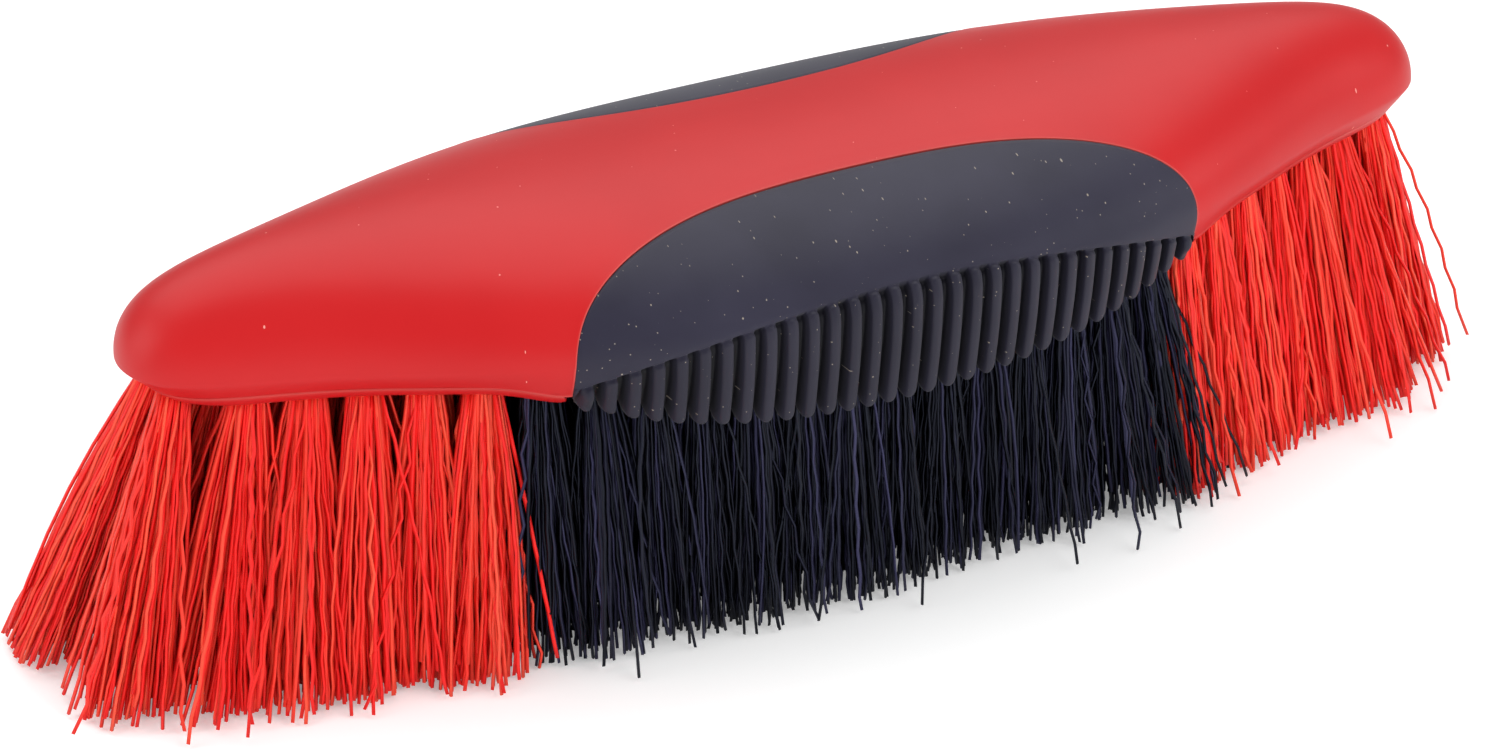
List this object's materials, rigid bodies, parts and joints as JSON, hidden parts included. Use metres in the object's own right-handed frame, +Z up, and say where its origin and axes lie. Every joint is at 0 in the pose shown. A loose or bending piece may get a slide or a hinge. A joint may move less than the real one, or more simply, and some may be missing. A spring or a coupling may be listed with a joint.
{
  "type": "grooming brush",
  "caption": "Hand-held grooming brush: arched hollow block with ribbed soft side grips, tufted sole plate and rows of crimped bristles trimmed level.",
  "frame": {"origin": "middle of the plane that the trimmed bristle tips stand on", "axes": "+X along the block, +Y across it towards the rear grip, +Z up from the bristle tips to the arched top"},
  "size_m": [0.2092, 0.0668, 0.0596],
  "materials": {
    "red_plastic": "satin moulded",
    "navy_rubber": "matt soft touch",
    "red_bristle": "crimped filament",
    "dark_bristle": "crimped filament",
    "anchor_wire": "drawn flat wire"
  },
  "bodies": {
    "root": {"handle_shell": "red_plastic", "tuft_plate": "red_plastic", "grip_front": "navy_rubber", "grip_rear": "navy_rubber", "tufts_outer_left": "red_bristle", "tufts_outer_middle": "dark_bristle", "tufts_outer_right": "red_bristle", "tufts_second_left": "red_bristle", "tufts_second_middle": "dark_bristle", "tufts_second_right": "red_bristle", "tufts_third_middle": "dark_bristle", "tufts_core_left": "red_bristle", "tufts_core_middle": "dark_bristle", "tufts_core_right": "red_bristle", "anchors_outer_left": "anchor_wire", "anchors_outer_middle": "anchor_wire", "anchors_outer_right": "anchor_wire", "anchors_second_left": "anchor_wire", "anchors_second_middle": "anchor_wire", "anchors_second_right": "anchor_wire", "anchors_third_middle": "anchor_wire", "anchors_core_left": "anchor_wire", "anchors_core_middle": "anchor_wire", "anchors_core_right": "anchor_wire"}
  },
  "joints": []
}
